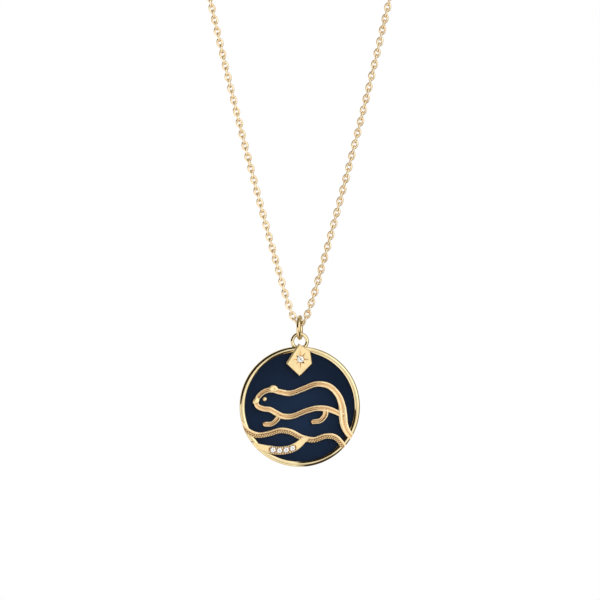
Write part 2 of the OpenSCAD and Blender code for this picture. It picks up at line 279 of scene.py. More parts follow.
def makeToneMix():
    # two tones of one finish, mixed by a mask that is spread around its middle
    group, given, out = newGroup(
        "toneMix", {"Mask": 0.5, "Spread": 1.0, "Light": (1.0, 1.0, 1.0, 1.0), "Dark": (0.0, 0.0, 0.0, 1.0),
                    "Smooth": 0.1, "Rough": 0.3},
        {"Color": (0.0, 0.0, 0.0, 1.0), "Roughness": 0.0})
    away = calc(group, "SUBTRACT", given.outputs["Mask"], 0.5)
    wide = calc(group, "MULTIPLY", away, given.outputs["Spread"])
    mask = addNode(group, "ShaderNodeMath", {0: wide, 1: 0.5}, operation="ADD", use_clamp=True)
    tone = addNode(group, "ShaderNodeMix", {
        "Factor": mask.outputs[0], "A": given.outputs["Dark"], "B": given.outputs["Light"]}, data_type="RGBA")
    group.links.new(tone.outputs["Result"], out.inputs["Color"])
    rough = addNode(group, "ShaderNodeMapRange", {
        "Value": mask.outputs[0], "To Min": given.outputs["Rough"], "To Max": given.outputs["Smooth"]})
    group.links.new(rough.outputs["Result"], out.inputs["Roughness"])
    return group


metalGrain = makeMetalGrain()
toneMix = makeToneMix()


def addGrain(tree, look):
    return addNode(tree, "ShaderNodeGroup", {
        "Grain Scale": look["grain"], "Grain Height": look["grainHeight"],
        "Wave Scale": look["wave"], "Wave Height": look["waveHeight"]}, node_tree=metalGrain)


def addSurface(tree, inputs):
    surface = addNode(tree, "ShaderNodeBsdfPrincipled", inputs)
    addNode(tree, "ShaderNodeOutputMaterial", {"Surface": surface.outputs[0]})


def addTonedSurface(tree, look, grain, mask, inputs):
    # the two tones of a look, mixed by the mask, with the grain as the surface's bump
    tone = addNode(tree, "ShaderNodeGroup", {
        "Mask": mask, "Spread": look["spread"], "Light": look["light"], "Dark": look["dark"],
        "Smooth": look["smooth"], "Rough": look["rough"]}, node_tree=toneMix)
    relief = addNode(tree, "ShaderNodeBump", {
        "Height": grain.outputs["Height"], "Strength": 1.0, "Distance": look["bump"]})
    addSurface(tree, {"Base Color": tone.outputs["Color"], "Roughness": tone.outputs["Roughness"],
                      "Normal": relief.outputs["Normal"], **inputs})


def rgb(r, g, b):
    # a colour as a screen shows it, 0 to 255, as the shader takes it
    shares = [c / 255 for c in (r, g, b)]
    return tuple(((c + 0.055) / 1.055) ** 2.4 if c > 0.04 else c / 12.92 for c in shares) + (1.0,)


# what holds where a metal gives no value of its own
metalBase = dict(spread=2.5, grain=9000.0, grainHeight=0.6, wave=1500.0, waveHeight=0.6, bump=0.00001)
metals = {
    "polishedGold": dict(light=rgb(216, 202, 164), dark=rgb(211, 193, 151), smooth=0.05, rough=0.1,
                         grainHeight=0.03, wave=700.0, waveHeight=1.0, bump=0.000003),
    "ringGold": dict(light=rgb(220, 200, 158), dark=rgb(214, 190, 144), smooth=0.06, rough=0.12,
                     grainHeight=0.03, wave=700.0, waveHeight=1.0, bump=0.000008),
    "wireGold": dict(light=rgb(241, 218, 177), dark=rgb(233, 204, 158), smooth=0.24, rough=0.32,
                     grain=11000.0, grainHeight=0.5, wave=900.0),
    "satinGold": dict(light=rgb(255, 235, 184), dark=rgb(254, 228, 174), smooth=0.4, rough=0.5,
                      grain=14000.0, grainHeight=1.0, wave=900.0, waveHeight=0.4),
    # painted shade: the darker gold of the wires' grooves, also used in one ray of the plaque
    "grooveShadeGold": dict(light=rgb(236, 197, 147), dark=rgb(214, 171, 121), smooth=0.32, rough=0.46,
                       grain=12000.0, grainHeight=1.0, waveHeight=0.8, bump=0.00002),
    # painted shade: gold for the plaque's ray cuts, darker than the plaque itself
    "rayShadeGold": dict(light=rgb(244, 206, 156), dark=rgb(234, 192, 142), smooth=0.3, rough=0.4,
                    grain=12000.0, grainHeight=1.0, waveHeight=0.8),
    "milledGold": dict(light=rgb(255, 241, 204), dark=rgb(252, 233, 188), smooth=0.3, rough=0.4,
                       grainHeight=0.5),
    # painted shade: darker gold for the milled channel between the grains
    "channelShadeGold": dict(light=rgb(186, 143, 97), dark=rgb(156, 118, 78), smooth=0.35, rough=0.5,
                        grainHeight=1.0),
    # painted shade: dark gold for the two darkest ray cuts and the sunk channel under the row of stones
    "cutShadeGold": dict(light=rgb(170, 126, 72), dark=rgb(142, 102, 56), smooth=0.25, rough=0.38),
    # painted light: the seats under the stones are nearly white, so the stones over them look bright
    "litSeatGold": dict(light=rgb(244, 234, 214), dark=rgb(228, 214, 188), smooth=0.12, rough=0.25),
    "chainGold": dict(light=rgb(255, 238, 206), dark=rgb(250, 228, 190), smooth=0.4, rough=0.5,
                      grainHeight=0.1, wave=800.0, waveHeight=1.0),
}
coarseFrom = 0.9  # from this grain height on, a metal's tone follows its flecks


def makeMetal(name, look):
    material = bpy.data.materials.new(name)
    tree = nodeTree(material)
    grain = addGrain(tree, look)
    mask = grain.outputs["Fleck" if look["grainHeight"] > coarseFrom else "Cloud"]
    addTonedSurface(tree, look, grain, mask, {"Metallic": 1.0})
    return material


# painted shade: the enamel is lightest within a small radius of one point and darkens out to a larger radius
# near the rim's wall
enamelLook = dict(light=rgb(35, 53, 82), dark=rgb(23, 37, 59), spread=1.2, smooth=0.03, rough=0.05,
                  grain=5000.0, grainHeight=0.02, wave=260.0, waveHeight=1.0, bump=0.00002, ior=1.4,
                  litAt=(-0.8, -1.6), litR=2.0, shadedR=9.4, shadeShare=0.75)


def makeEnamel(look):
    # fired glass with painted shade: darker towards the rim's wall and lighter in the middle, with a little
    # drift, and slowly wavy
    material = bpy.data.materials.new("navyEnamel")
    tree = nodeTree(material)
    grain = addGrain(tree, look)
    place = addNode(tree, "ShaderNodeTexCoord")
    away = addNode(tree, "ShaderNodeVectorMath", {
        0: place.outputs["Object"], 1: onDisc(*look["litAt"], enamelFront)}, operation="DISTANCE")
    # painted shade: the distance from the light point sets most of the enamel's darkening
    shadeRamp = addNode(tree, "ShaderNodeMapRange", {
        "Value": away.outputs["Value"], "From Min": look["shadedR"] * mm, "From Max": look["litR"] * mm})
    depth = calc(tree, "MULTIPLY", shadeRamp.outputs["Result"], look["shadeShare"])
    drift = calc(tree, "MULTIPLY", grain.outputs["Cloud"], 1 - look["shadeShare"])
    addTonedSurface(tree, look, grain, calc(tree, "ADD", depth, drift), {"IOR": look["ior"]})
    return material


stoneLook = dict(colour=(1.0, 1.0, 1.0, 1.0), rough=0.0, ior=2.0)


def makeStone(look):
    material = bpy.data.materials.new("clearStone")
    addSurface(nodeTree(material), {"Base Color": look["colour"], "Roughness": look["rough"],
                                    "IOR": look["ior"], "Transmission Weight": 1.0})
    return material


finish = {name: makeMetal(name, {**metalBase, **look}) for name, look in metals.items()}
finish["enamel"] = makeEnamel(enamelLook)
finish["stone"] = makeStone(stoneLook)
print("materials made:", len(finish))


# Rim, back plate and eye

rim = {"crownAt": 9.543, "crownIn": 0.403, "crownTilt": 44, "crownTop": 0.75, "crownRise": 0.396,
       "crownSteps": 12, "chamfer": 0.12, "chamferSteps": 6, "back": -0.75, "backRings": (4.0, 8.0),
       "floor": -0.25, "steps": 288, "sharp": 32}


def rimProfile():
    # radius and height, from the back plate round to the foot of the wall around the enamel
    points = [(r, rim["back"]) for r in rim["backRings"]]
    for k in range(rim["chamferSteps"] + 1):
        a = pi / 2 * k / rim["chamferSteps"]
        points.append((rimR - rim["chamfer"] * (1 - sin(a)), rim["back"] + rim["chamfer"] * (1 - cos(a))))
    points.append((rimR, 0.0))
    for k in range(rim["crownSteps"] + 1):
        # the crown leans a little inwards, so its outer half is the wider and steeper one
        a = pi / 2 * k / rim["crownSteps"]
        points.append((rim["crownAt"] + (rimR - rim["crownAt"]) * cos(a),
                       rim["crownTop"] - rim["crownRise"] * (1 - sin(a))))
    tilt = radians(rim["crownTilt"])
    slopeR = rim["crownIn"] / sin(tilt)
    for k in range(1, rim["crownSteps"] + 1):
        a = tilt * k / rim["crownSteps"]
        points.append((rim["crownAt"] - slopeR * sin(a), rim["crownTop"] - slopeR * (1 - cos(a))))
    points.append((rim["crownAt"] - rim["crownIn"], rim["floor"]))
    return points


def buildRim():
    profile = rimProfile()
    cols, steps = len(profile), rim["steps"]
    verts = [onDisc(x * r, up * r, h) for x, up in circleLoop((0, 0), 1.0, steps) for r, h in profile]
    faces = gridFaces(steps, cols, closeRows=True)
    verts.append(onDisc(0, 0, rim["back"]))
    faces += [(len(verts) - 1, i * cols, ((i + 1) % steps) * cols) for i in range(steps)]
    piece = makePiece("rim", verts, faces, "pendant", ["polishedGold"], sharp=rim["sharp"])
    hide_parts("pendant_case")


# solder thickens the eye's wire by up to the fillet where it enters the rim
eye = {"up": 10.83, "ringR": 1.225, "wireR": 0.3, "fillet": 0.16, "filletFrom": 0.45, "filletPower": 1.5,
       "steps": 120, "sides": 28}


def buildEye():
    def wireAt(a):
        low = max(0.0, -sin(a) - eye["filletFrom"]) / (1 - eye["filletFrom"])
        return eye["wireR"] + eye["fillet"] * low ** eye["filletPower"]

    centre = Vector((0.0, 0.0, discZ + eye["up"]))
    verts, faces = ringShape(centre, Vector((1, 0, 0)), Vector((0, 0, 1)), eye["ringR"], wireAt,
                             eye["steps"], eye["sides"])
    piece = makePiece("eye", verts, faces, "pendant", ["polishedGold"])
    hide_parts("pendant_case")


buildRim()
buildEye()
print("rim and eye built")


# Wires of the figure

wireLook = {"groove": 0.16, "grooveShare": 0.42, "grooveDrop": 0.13, "grooveBow": 0.05,
            "grooveLines": (-0.8, -0.45, 0.0, 0.45, 0.8), "beadDrop": 0.07, "beadSteps": 9, "rows": 190,
            "sharp": 48}
# line of each plain wire, and how far it lies under the top, so that crossings stay clean
plainWires = {"wire_back": ("back", 0.0), "wire_belly": ("belly", 0.012), "fore_paw": ("forePaw", 0.022),
              "hind_paw": ("hindPaw", 0.022)}
milled = {"pitch": 0.4, "r": 0.14, "rows": (-0.34, -0.08), "height": 0.78, "around": 12, "up": 4,
          "edge": 0.36, "lip": 0.03, "lipDrop": 0.12, "sideDrop": 0.16, "channelDrop": 0.15}


def sweepWire(name, line, columns, groove):
    # columns: offset as a function of half width, height, and the finish of the strip after each,
    # which is 0 for the bright edges and 1 for the groove, whose darker gold is painted shade
    normals = lineNormals(line)
    half = line[:, 2] / 2
    rows = wireLook["rows"]
    grid = []
    for offset, height, _ in columns:
        shift = np.array([offset(w) for w in half])
        points = resample(cutAtRim(line[:, :2] + normals * shift[:, None], wireEndR), rows)
        grid.append([onDisc(x, up, height) for x, up in points])
    verts = [v for column in grid for v in column]
    faces = gridFaces(len(grid), rows, flip=True)
    picks = [pick for _, _, pick in columns[:-1] for _ in range(rows - 1)]
    for row in (0, rows - 1):
        # each end is closed by a fan from the middle of its foot
        foot = len(verts)
        verts.append(tuple((Vector(grid[0][row]) + Vector(grid[-1][row])) / 2))
        for i in range(len(grid) - 1):
            a, b = i * rows + row, (i + 1) * rows + row
            faces.append((foot, b, a) if row == 0 else (foot, a, b))
            picks.append(0)
    piece = makePiece(name, verts, faces, "pendant", ["wireGold", groove], picks,
                      sharp=wireLook["sharp"])
    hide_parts("pendant_case")


def edgeColumns(side, top, inner):
    # from the foot of one side, over its rounded bright edge, to the inner line
    low = top - wireLook["beadDrop"]
    columns = [(lambda w: side * w, wireLow, 0), (lambda w: side * w, low, 0)]
    for k in range(1, wireLook["beadSteps"] + 1):
        t = k / wireLook["beadSteps"]
        lift = sqrt(max(0.0, 1 - (2 * t - 1) ** 2))
        height = top - wireLook["beadDrop"] * (1 - lift)
        columns.append((lambda w, t=t: side * (w - t * (w - inner(w))), height, 0))
    return columns


def plainColumns(top):
    def inner(w):
        return min(wireLook["groove"], wireLook["grooveShare"] * w)

    left = edgeColumns(-1, top, inner)
    left[-1] = (left[-1][0], left[-1][1], 1)
    middle = []
    for t in wireLook["grooveLines"]:
        height = top - wireLook["grooveDrop"] + wireLook["grooveBow"] * t * t
        middle.append((lambda w, t=t: t * inner(w), height, 1))
    return left + middle + edgeColumns(1, top, inner)[::-1]


def milledColumns(top):
    # a flat channel for the grains on one side, in darker gold as painted shade, and a bright edge on the
    # other
    def inner(w):
        return w - milled["edge"]

    lip, floor = milled["lip"], top - milled["channelDrop"]
    channel = [(lambda w: -w, wireLow, 0), (lambda w: -w, top - milled["sideDrop"], 0),
               (lambda w: -w + lip, top - milled["lipDrop"], 1), (lambda w: -w + 2 * lip, floor, 1),
               (lambda w: 0.0, floor, 1)]
    return channel + edgeColumns(1, top, inner)[::-1]


def buildWires():
    for name, (key, lower) in plainWires.items():
        line = withRoundTip(splineLine(figure[key]))
        sweepWire(name, line, plainColumns(wireTop - lower), "grooveShadeGold")
    sweepWire("milled_wave", splineLine(figure["upperWave"]), milledColumns(wireTop), "channelShadeGold")


# a grain runs from just under its middle, in degrees, nearly up to its crown
grainCut = {"from": -35, "span": 125, "lastShare": 0.4}


def grainShape(r, around, up):
    verts = []
    for i in range(up + 1):
        a = radians(grainCut["from"] + grainCut["span"] * i / (up + grainCut["lastShare"]))
        verts += [(x, y, r * sin(a)) for x, y in circleLoop((0, 0), r * cos(a), around)]
    verts.append((0, 0, r))
    return verts, gridFaces(up + 1, around, closeCols=True) + fanFaces(up * around, around, len(verts) - 1)


def addGrainAt(parts, shape, x, up, height):
    verts, faces = shape
    parts.add([onDisc(x + u, up + v, height + w) for u, v, w in verts], faces)


def buildMilling():
    line = splineLine(figure["upperWave"])
    length = distances(line)[-1]
    shape = grainShape(milled["r"], milled["around"], milled["up"])
    parts = Parts()
    for n, across in enumerate(milled["rows"]):
        s = n * milled["pitch"] / 2
        while s < length:
            p, _, beside = walkLine(line, s)
            p = p + beside * across
            s += milled["pitch"]
            if np.linalg.norm(p) < wireEndR - milled["r"]:
                addGrainAt(parts, shape, *p, milled["height"])
    piece = makePiece("milled_grains", parts.verts, parts.faces, "pendant", ["milledGold"])
    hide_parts("pendant_case")


drop = {"around": 56, "rings": 14, "rise": 0.16, "round": 1.2, "dishReach": 0.7, "sharp": 60}


def buildDrop(name):
    # a domed oval, with a dish in its middle
    shape = figure[name]
    turn = radians(shape["tilt"])
    edge = shape["top"] - drop["rise"]
    rows = [(1.0, shape["low"]), (1.0, edge)]
    for k in range(1, drop["rings"]):
        t = 1 - k / drop["rings"]
        rise = drop["rise"] * (1 - (1 - sqrt(1 - t * t)) ** drop["round"])
        dish = shape["dish"] * max(0.0, cos(pi * min(1.0, t / drop["dishReach"]) / 2)) ** 2
        rows.append((t, edge + rise - dish))
    verts = []
    for t, h in rows:
        for u, v in circleLoop((0, 0), t, drop["around"]):
            x, y = shape["half"][0] * u, shape["half"][1] * v
            verts.append(onDisc(shape["at"][0] + x * cos(turn) - y * sin(turn),
                                shape["at"][1] + x * sin(turn) + y * cos(turn), h))
    verts.append(onDisc(*shape["at"], shape["top"] - shape["dish"]))
    faces = gridFaces(len(rows), drop["around"], closeCols=True)
    faces += fanFaces((len(rows) - 1) * drop["around"], drop["around"], len(verts) - 1)
    piece = makePiece(name, verts, faces, "pendant", ["satinGold"], sharp=drop["sharp"])
    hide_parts("pendant_case")


buildWires()
buildMilling()
for name in ("nose", "ear", "pupil"):
    buildDrop(name)
print("wires, milling, nose, ear and eye of the figure built")


# Flat plates with seats for stones: the plaque and the lower wave

def insideLoop(p, loop):
    odd = False
    for k in range(len(loop)):
        a, b = loop[k], loop[(k + 1) % len(loop)]
        if (a[1] > p[1]) != (b[1] > p[1]) and p[0] < a[0] + (p[1] - a[1]) / (b[1] - a[1]) * (b[0] - a[0]):
            odd = not odd
    return odd


def plateTop(parts, outline, seats, top, cuts=(), pick=0):
    # a flat face with round holes; a cut adds points that may lie lower, their edges, and a material number
    # for the faces touching its low points, a darker gold that paints the cut's shade
    points, heights, picks, edges = [], [], [], []
    for loop in [outline] + seats:
        first = len(points)
        points += [Vector(p) for p in loop]
        heights += [top] * len(loop)
        picks += [pick] * len(loop)
        edges += [(first + k, first + (k + 1) % len(loop)) for k in range(len(loop))]
    for place, links, cutPick in cuts:
        first = len(points)
        points += [Vector(p[:2]) for p in place]
        heights += [top - p[2] for p in place]
        picks += [cutPick] * len(place)
        edges += [(first + a, first + b) for a, b in links]
    verts, _, faces, source, _, _ = delaunay_2d_cdt(points, edges, [], 0, 1e-5)
    lowest = [min(origin, key=lambda k: heights[k], default=0) for origin in source]
    kept, keptPicks = [], []
    for f in faces:
        middle = sum((verts[k] for k in f), Vector((0, 0))) / len(f)
        if insideLoop(middle, outline) and not any(insideLoop(middle, loop) for loop in seats):
            deep = min((lowest[k] for k in f), key=lambda k: heights[k])
            kept.append(f)
            keptPicks.append(picks[deep] if heights[deep] < top else pick)
    parts.add([onDisc(v.x, v.y, heights[k]) for v, k in zip(verts, lowest)], kept, keptPicks)


def loft(parts, loops, pick=0, flip=False):
    # loops: (points, height) with the same number of points each
    verts = [onDisc(x, y, h) for loop, h in loops for x, y in loop]
    parts.add(verts, gridFaces(len(loops), len(loops[0][0]), closeCols=True, flip=flip), pick)


# a seat's cup narrows under the stone: share of its radius, depth as a share of it, and depth in mm
seatCup = [(1.0, 0.0, 0.0), (0.97, 0.0, 0.1), (0.5, 0.55, 0.12), (0.1, 1.0, 0.0)]
seatSides = 48


# painted light: the seat's cup takes the nearly white seat gold
def seatWall(parts, centre, r, top, pick):
    loops = [(circleLoop(centre, r * share, seatSides), top - deep * r - more)
             for share, deep, more in seatCup]
    loft(parts, loops, pick, flip=True)


def shrinkPolygon(loop, steps):
    # moves each side of a convex polygon inwards by its own step; the loop runs clockwise
    n = len(loop)
    out = []
    for k in range(n):
        a, b, c = (np.array(loop[(k + j) % n], float) for j in (-1, 0, 1))
        u, v = (b - a) / np.linalg.norm(b - a), (c - b) / np.linalg.norm(c - b)
        inwards = np.array([[u[1], -u[0]], [v[1], -v[0]]])
        out.append(tuple(b + np.linalg.solve(inwards, [steps[k - 1], steps[k]])))
    return out


# the rays: turn, reach from the stone's centre, half width at the stone, and finish, a darker gold per ray
# that paints the shade in its cut
plaque = {"corners": [(-0.17, 10.5), (1.75, 9.2), (2.05, 7.12), (0.0, 5.08), (-2.27, 7.24)],
          "star": (0.11, 7.86), "bevels": (0.12, 0.09, 0.09, 0.09, 0.27), "bevelDrop": 0.09,
          "seatR": 0.6, "stoneD": 1.24, "rayDepth": 0.12, "rayGap": 0.02,
          "rays": [(90, 1.6, 0.17, "rayShadeGold"), (53, 1.42, 0.15, "rayShadeGold"), (0, 1.5, 0.16, "grooveShadeGold"),
                   (313, 1.05, 0.13, "cutShadeGold"), (270, 1.7, 0.14, "rayShadeGold"), (229, 1.2, 0.11, "rayShadeGold"),
                   (180, 1.35, 0.11, "rayShadeGold"), (136, 1.0, 0.13, "cutShadeGold")],
          "claws": 4, "clawTurn": 0.25, "clawR": 0.11, "clawOut": 0.68, "clawUp": 0.02,
          "finishes": ["wireGold", "satinGold", "litSeatGold", "rayShadeGold", "grooveShadeGold", "cutShadeGold"]}


def plaqueRay(turn, reach, half, look):
    # a cut from three points at the seat, the middle one deep, to a point on the face; its faces take the
    # ray's darker gold, painted shade
    a = radians(turn)
    along, across = np.array([cos(a), sin(a)]), np.array([-sin(a), cos(a)])
    start = plaque["seatR"] + plaque["rayGap"]
    spots = [(start, half, 0), (start, 0, plaque["rayDepth"]), (start, -half, 0), (reach, 0, 0)]
    place = [(*(np.array(plaque["star"]) + along * d + across * side), depth) for d, side, depth in spots]
    return place, [(0, 3), (1, 3), (2, 3), (0, 1), (1, 2)], plaque["finishes"].index(look)


def buildPlaque():
    parts = Parts()
    corners = plaque["corners"]
    inner = shrinkPolygon(corners, plaque["bevels"])
    seat = circleLoop(plaque["star"], plaque["seatR"], seatSides)
    low = plaqueTop - plaque["bevelDrop"]
    plateTop(parts, inner, [seat], plaqueTop, [plaqueRay(*ray) for ray in plaque["rays"]], pick=1)
    loft(parts, [(inner, plaqueTop), (corners, low)], [0, 0, 0, 0, 1])
    loft(parts, [(corners, low), (corners, wireLow)])
    parts.add([onDisc(x, y, wireLow) for x, y in corners], [(0, 1, 2, 3, 4)])
    seatWall(parts, plaque["star"], plaque["seatR"], plaqueTop, 2)
    piece = makePiece("plaque", parts.verts, parts.faces, "pendant", plaque["finishes"],
                      parts.picks, flat=True)
    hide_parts("pendant_case")


row = {"seatR": 0.46, "holeSides": 40, "stoneD": 0.94, "clawR": 0.13, "clawOut": 0.36, "beadR": 0.125,
       "beadOut": 0.555, "beadsEach": 3, "around": 14, "up": 5, "lineSteps": 5, "top": 0.894, "edge": 0.07,
       "edgeBow": (0.3, 0.25), "leastHalf": 0.01, "sidePoints": 90, "tipShares": (0.75, 0.5, 0.25),
       "rail": 0.075, "sunk": 0.12, "past": 0.15, "channelPoints": 40, "endStep": 15, "sharp": 40,
       "finishes": ["wireGold", "satinGold", "litSeatGold", "cutShadeGold"]}


def stonePlaces():
    line = splineLine(figure["stoneWave"], row["lineSteps"])
    return [walkLine(line, figure["rowStart"] + k * figure["rowPitch"])[0] for k in range(figure["rowCount"])]


def waveLoop(line, inset, limit):
    # outline of the lower wave, inset from its edges: up one side, round the tip, back on the other
    normals = lineNormals(line)
    half = np.maximum(line[:, 2] / 2 - inset, row["leastHalf"])
    left, right = (resample(cutAtRim(line[:, :2] + side * normals * half[:, None], limit), row["sidePoints"])
                   for side in (1, -1))
    cap = [left[0] + (right[0] - left[0]) * t for t in row["tipShares"]]
    cap = [p * limit / np.linalg.norm(p) for p in cap]
    return [tuple(p) for p in list(left) + list(right[::-1]) + cap]


def channelLoop(line):
    # the sunk stretch that holds the stones, between two narrow rails, with a round end each way
    d = distances(line)
    first = figure["rowStart"] - row["past"]
    last = figure["rowStart"] + (figure["rowCount"] - 1) * figure["rowPitch"] + row["past"]
    step = row["endStep"]

    def around(s, turns):
        # points at the channel's half width from the line, at turns from its left side
        p, along, beside = walkLine(line, s)
        w = np.interp(s, d, line[:, 2]) / 2 - row["rail"]
        return [p + w * (beside * cos(a) + along * sin(a)) for a in (radians(turn) for turn in turns)]

    sides = [around(s, (0, 180)) for s in np.linspace(first, last, row["channelPoints"])]
    left, right = ([pair[k] for pair in sides] for k in (0, 1))
    fore, aft = around(last, range(step, 180, step)), around(first, range(180 + step, 360, step))
    return [tuple(p) for p in left + fore + right[::-1] + aft]


def buildStoneWave():
    parts = Parts()
    line = withRoundTip(splineLine(figure["stoneWave"]))
    top, edge, floor = row["top"], row["edge"], row["top"] - row["sunk"]
    inner, middle, outer = (waveLoop(line, inset, wireEndR - inset)
                            for inset in (edge, edge * row["edgeBow"][0], 0.0))
    channel = channelLoop(line)
    seats = [circleLoop(p, row["seatR"], row["holeSides"]) for p in stonePlaces()]
    plateTop(parts, inner, [channel], top, pick=1)
    # painted shade: the sunk channel's floor and walls take the dark cut gold
    plateTop(parts, channel, seats, floor, pick=3)
    loft(parts, [(channel, top), (channel, floor)], 3)
    bowed = top - edge * row["edgeBow"][1]
    loft(parts, [(inner, top), (middle, bowed), (outer, top - edge), (outer, wireLow)], flip=True)
    for p in stonePlaces():
        seatWall(parts, p, row["seatR"], floor, 2)
    piece = makePiece("stone_wave", parts.verts, parts.faces, "pendant", row["finishes"],
                      parts.picks, sharp=row["sharp"])
    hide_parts("pendant_case")


def buildGrains():
    parts = Parts()
    line = splineLine(figure["stoneWave"], row["lineSteps"])
    stones, each = figure["rowCount"], row["beadsEach"]
    claws = [(k - 0.5, row["clawR"], row["clawOut"]) for k in range(stones + 1)]
    beads = [(k / each - 0.5, row["beadR"], row["beadOut"]) for k in range(stones * each + 1)]
    for step, r, out in claws + beads:
        shape = grainShape(r, row["around"], row["up"])
        p, _, beside = walkLine(line, figure["rowStart"] + step * figure["rowPitch"])
        for side in (-1, 1):
            addGrainAt(parts, shape, *(p + beside * side * out), wireTop)
    shape = grainShape(plaque["clawR"], row["around"], row["up"])
    for x, up in circleLoop(plaque["star"], plaque["clawOut"], plaque["claws"], plaque["clawTurn"]):
        addGrainAt(parts, shape, x, up, plaqueTop + plaque["clawUp"])
    piece = makePiece("stone_grains", parts.verts, parts.faces, "pendant", ["milledGold"])
    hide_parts("pendant_case")


buildPlaque()
buildStoneWave()
buildGrains()
print("plaque, stone wave and grains built")


# Stones: round brilliants, with sizes as shares of the girdle's diameter

cut = {"table": 0.56, "crown": 0.15, "girdle": 0.03, "pavilion": 0.42, "starOut": 0.558, "starDown": 0.5084,
       "lowerReach": 0.55, "lift": 0.08}


def brilliant(d, centre, top):
    r = d / 2
    girdleTop = top - d * cut["crown"]
    girdleLow = girdleTop - d * cut["girdle"]
    starR = r * (cut["table"] + (1 - cut["table"]) * cut["starOut"])
    starHeight = top - d * cut["crown"] * cut["starDown"]
    mainHeight = girdleLow - d * cut["pavilion"] * cut["lowerReach"]
    rings = [(r * cut["table"], top, 8, 0), (starR, starHeight, 8, 0.5), (r, girdleTop, 16, 0),
             (r, girdleLow, 16, 0), (r * (1 - cut["lowerReach"]), mainHeight, 8, 0.5)]
    verts = [onDisc(x, y, height) for ringR, height, count, turn in rings
             for x, y in circleLoop(centre, ringR, count, turn)]
    verts.append(onDisc(*centre, girdleLow - d * cut["pavilion"]))
    table, star, upper, lower, main, culet = 0, 8, 16, 32, 48, 56
    faces = [tuple(range(8))]
    for k in range(8):
        here, half, after = 2 * k, 2 * k + 1, (2 * k + 2) % 16
        n, before = (k + 1) % 8, (k - 1) % 8
        faces += [(table + k, star + k, table + n), (table + k, star + before, upper + here, star + k),
                  (star + k, upper + here, upper + half), (star + k, upper + half, upper + after),
                  (lower + here, main + k, lower + half), (lower + half, main + k, lower + after),
                  (main + k, culet, main + n, lower + after)]
    for k in range(16):
        faces.append((upper + k, lower + k, lower + (k + 1) % 16, upper + (k + 1) % 16))
    return verts, faces


def makeBrilliant(name, d, centre, top):
    verts, faces = brilliant(d, centre, top + cut["lift"])
    return makePiece(name, verts, faces, "pendant", ["stone"], flat=True)


def buildStones():
    piece = makeBrilliant("star_brilliant", plaque["stoneD"], plaque["star"], plaqueTop)
    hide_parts("star_stone")
    for k, p in enumerate(stonePlaces()):
        piece = makeBrilliant("row_brilliant_%d" % (k + 1), row["stoneD"], p, wireTop)
        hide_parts("row_stone_%d" % (k + 1))


# the fired surface is ground flat, and its edge just enters the rim's wall
enamel = {"steps": 288, "rings": 12, "intoWall": 0.01, "front": 0.24, "back": -0.2, "sharp": 50}


def buildEnamel():
    steps, rings = enamel["steps"], enamel["rings"]
    edgeR = rim["crownAt"] - rim["crownIn"] + enamel["intoWall"]
    rows = [(edgeR * (i + 1) / rings, enamel["front"]) for i in range(rings)] + [(edgeR, enamel["back"])]
    verts = [onDisc(x, up, h) for r, h in rows for x, up in circleLoop((0, 0), r, steps)]
    verts += [onDisc(0, 0, enamel["front"]), onDisc(0, 0, enamel["back"])]
    faces = gridFaces(len(rows), steps, closeCols=True, flip=True)
    faces += fanFaces(0, steps, len(verts) - 2) + fanFaces(rings * steps, steps, len(verts) - 1, flip=True)
    piece = makePiece("enamel", verts, faces, "pendant", ["enamel"], sharp=enamel["sharp"])
    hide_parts("enamel_disc")


buildStones()
buildEnamel()
print("stones and enamel built")


# Jump ring, chain, clasp and end ring

jump = {"ringR": 1.75, "wireR": 0.35, "turn": -6.5, "steps": 128, "sides": 32}


def buildJumpRing():
    low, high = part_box("bail_ring")
    a = radians(jump["turn"])
    verts, faces = ringShape((low + high) / 2 / mm, Vector((-sin(a), cos(a), 0)), Vector((0, 0, 1)),
                             jump["ringR"], jump["wireR"], jump["steps"], jump["sides"])
    piece = makePiece("jump_ring", verts, faces, "bail", ["ringGold"])
    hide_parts("bail_ring")


# Arcs of one side from its lowest point: radius, and slope from the vertical where the arc ends.
# Leans of the links: degrees, waves per mm as an angle, and where the wave starts.
loop = {"arcs": [(1.05, 21.5), (50.0, 16.0), (850.0, 4.87)], "linksEachSide": 226, "slip": 0.15,
        "wire": 0.36, "linkWidth": 1.2, "steps": 20, "sides": 8, "apexUp": 13.9,
        "fasteningHalf": 3.885, "claspEyeWire": 0.4, "endTwistFrom": 150.0, "endTwistOver": 55.0,
        "leans": [(5, 0.43, 1.1), (3, 1.9, 0.0), (2, 5.3, 0.0)],
        "leanFrom": 1.2, "leanOver": 3.0, "leanUntil": 215.0, "leanFade": 15.0}


def layArcs():
    # each arc: its length, radius, first slope, and where it starts; a round top closes the loop
    laid, x, z, slope = [], 0.0, 0.0, pi / 2
    for r, turn in loop["arcs"]:
        after = radians(turn)
        laid.append((r * (slope - after), r, slope, x, z))
        x += r * (cos(after) - cos(slope))
        z += r * (sin(slope) - sin(after))
        slope = after
    topR = x / cos(slope)
    laid.append((topR * (pi / 2 + slope), topR, slope, x, z))
    return laid


chainArcs = layArcs()


def chainPoint(s):
    # centre line of the chain at a distance from its lowest point: x, z and slope from the vertical
    d = abs(s)
    for length, r, first, x0, z0 in chainArcs:
        if d < length:
            break
        d -= length
    slope = first - d / r
    x, z = x0 + r * (cos(slope) - cos(first)), z0 + r * (sin(first) - sin(slope))
    return (x, z, slope) if s >= 0 else (-x, z, -slope)


def linkPitch():
    # the last link on each side is hooked over the wire of the fastening; a link's inner half length is
    # half the pitch, so its centre stands off by that less the wire's radius
    topR = chainArcs[-1][1]
    reach = sum(arc[0] for arc in chainArcs) - topR * asin(loop["fasteningHalf"] / topR)
    return (reach + loop["claspEyeWire"] / 2) / (loop["linksEachSide"] + 0.5)


def shareOf(value):
    return min(1.0, max(0.0, value))


